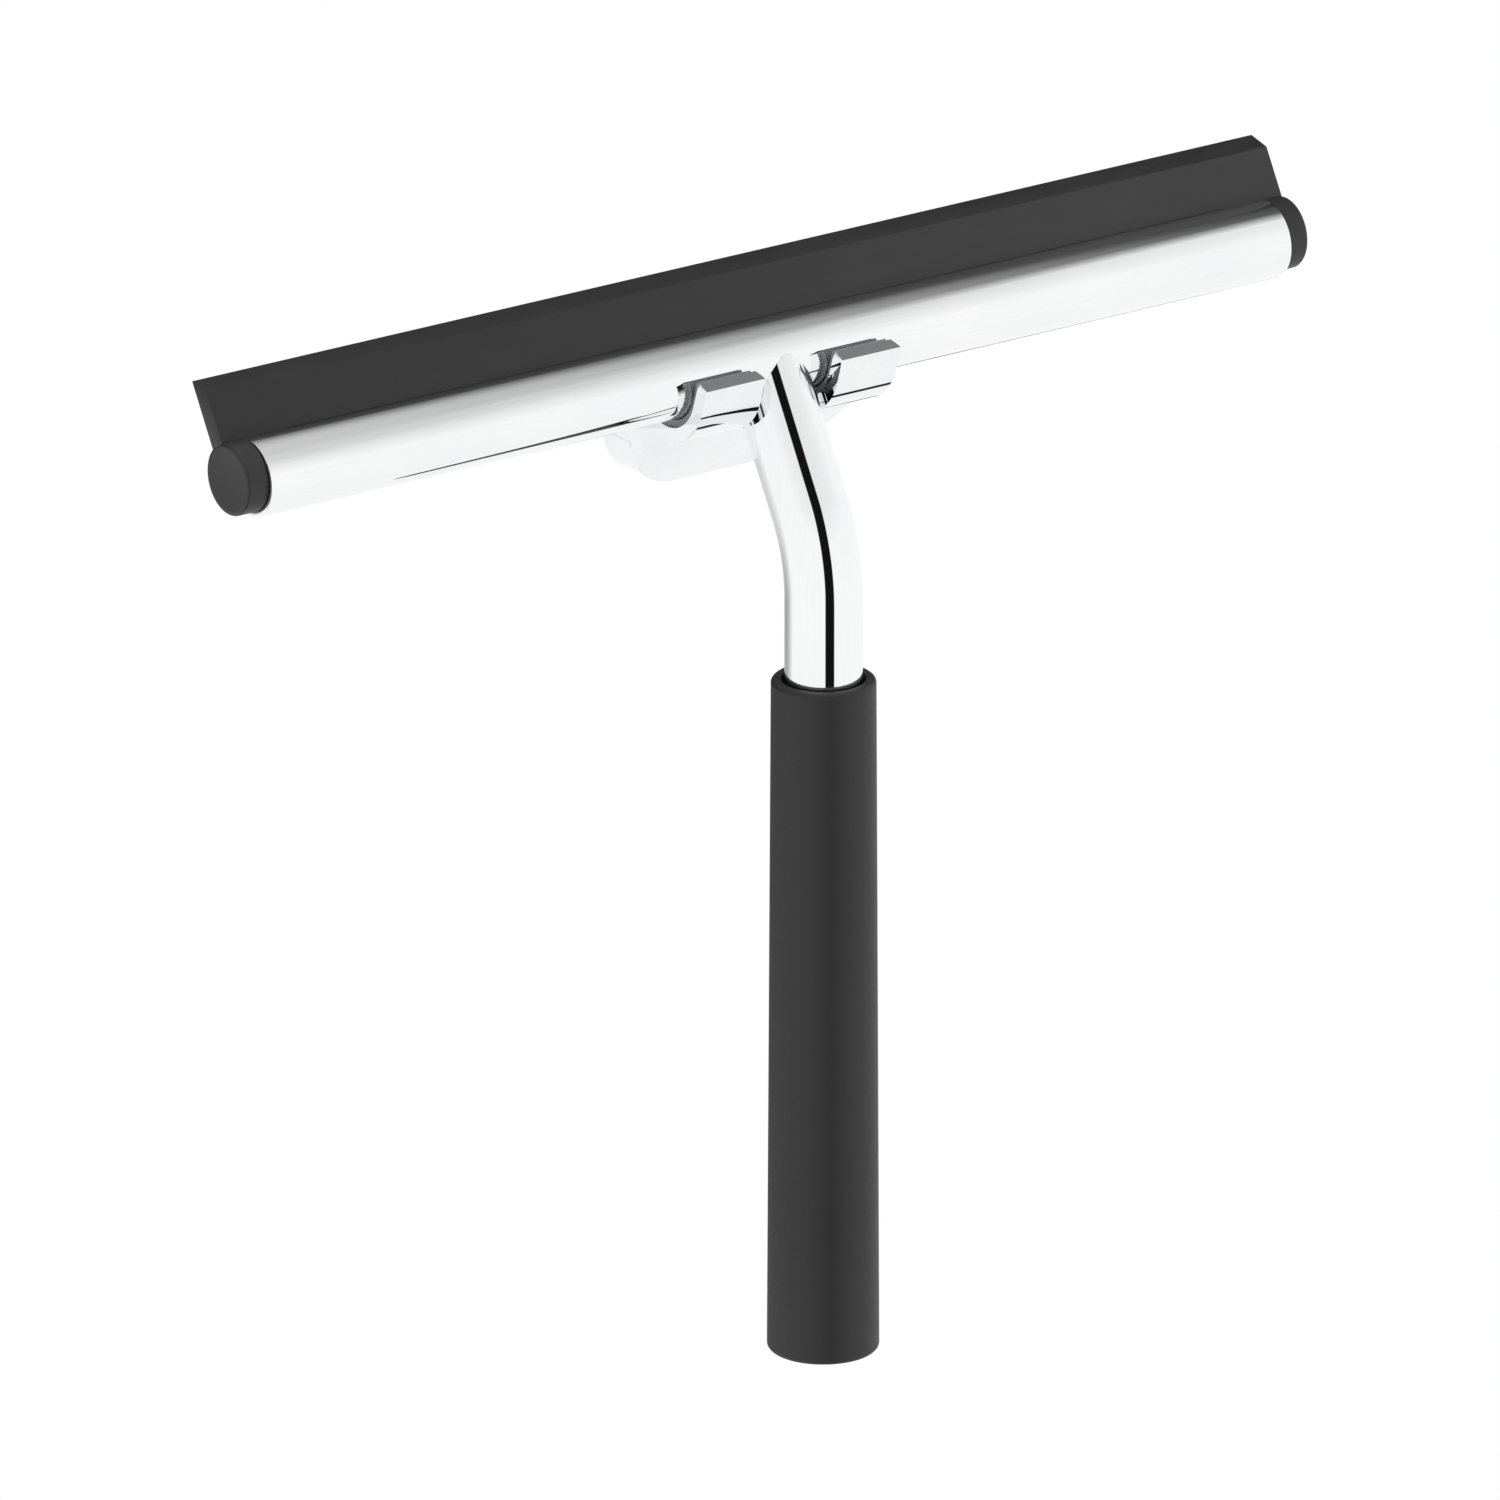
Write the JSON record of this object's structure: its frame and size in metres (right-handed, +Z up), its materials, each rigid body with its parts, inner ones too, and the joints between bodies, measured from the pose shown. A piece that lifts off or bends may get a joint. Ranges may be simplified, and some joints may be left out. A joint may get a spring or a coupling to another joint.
{
  "type": "window cleaning squeegee with wall holder",
  "caption": "Straight black-gripped squeegee with a chromed head tube and soft blade, hanging by its head in the open hooks of a chromed wall holder",
  "frame": {"origin": "centre of the holder's back face, on the wall plane", "axes": "+X along the head to the user's right when facing the wall, +Y into the wall, +Z up"},
  "size_m": [0.264, 0.0548, 0.2263],
  "materials": {
    "tube_chrome": "polished chrome plate on drawn brass tube",
    "blade_silicone": "smooth moulded silicone, satin",
    "channel_aluminium": "mill-finish extrusion",
    "cap_plastic": "fine moulded texture",
    "insert_brass": "turned brass",
    "screw_steel": "stainless steel, as made",
    "grip_rubber": "smooth moulded rubber, matt",
    "plug_plastic": "plain moulded polyethylene",
    "holder_chrome": "polished chrome plate on zinc casting",
    "pad_silicone": "translucent silicone, satin",
    "bracket_steel": "pressed stainless steel"
  },
  "bodies": {
    "holder": {"holder_body": "holder_chrome", "wall_bracket": "bracket_steel", "grub_screw": "screw_steel", "hook_pad_left": "pad_silicone", "hook_pad_right": "pad_silicone"},
    "squeegee": {"head_tube": "tube_chrome", "blade": "blade_silicone", "blade_channel": "channel_aluminium", "neck_tube": "tube_chrome", "neck_insert": "insert_brass", "neck_screw": "screw_steel", "saddle_washer": "screw_steel", "grip_sleeve": "grip_rubber", "tube_plug": "plug_plastic"},
    "cap_left": {"end_cap_left": "cap_plastic"},
    "cap_right": {"end_cap_right": "cap_plastic"}
  },
  "joints": [
    {"name": "lift_off", "type": "slide", "parent": "holder", "child": "squeegee", "axis": [0, -0.2588, 0.9659], "range_m": [0, 0.22]},
    {"name": "cap_left_pull", "type": "slide", "parent": "squeegee", "child": "cap_left", "axis": [-1, 0, 0], "range_m": [0, 0.015]},
    {"name": "cap_right_pull", "type": "slide", "parent": "squeegee", "child": "cap_right", "axis": [1, 0, 0], "range_m": [0, 0.015]}
  ]
}
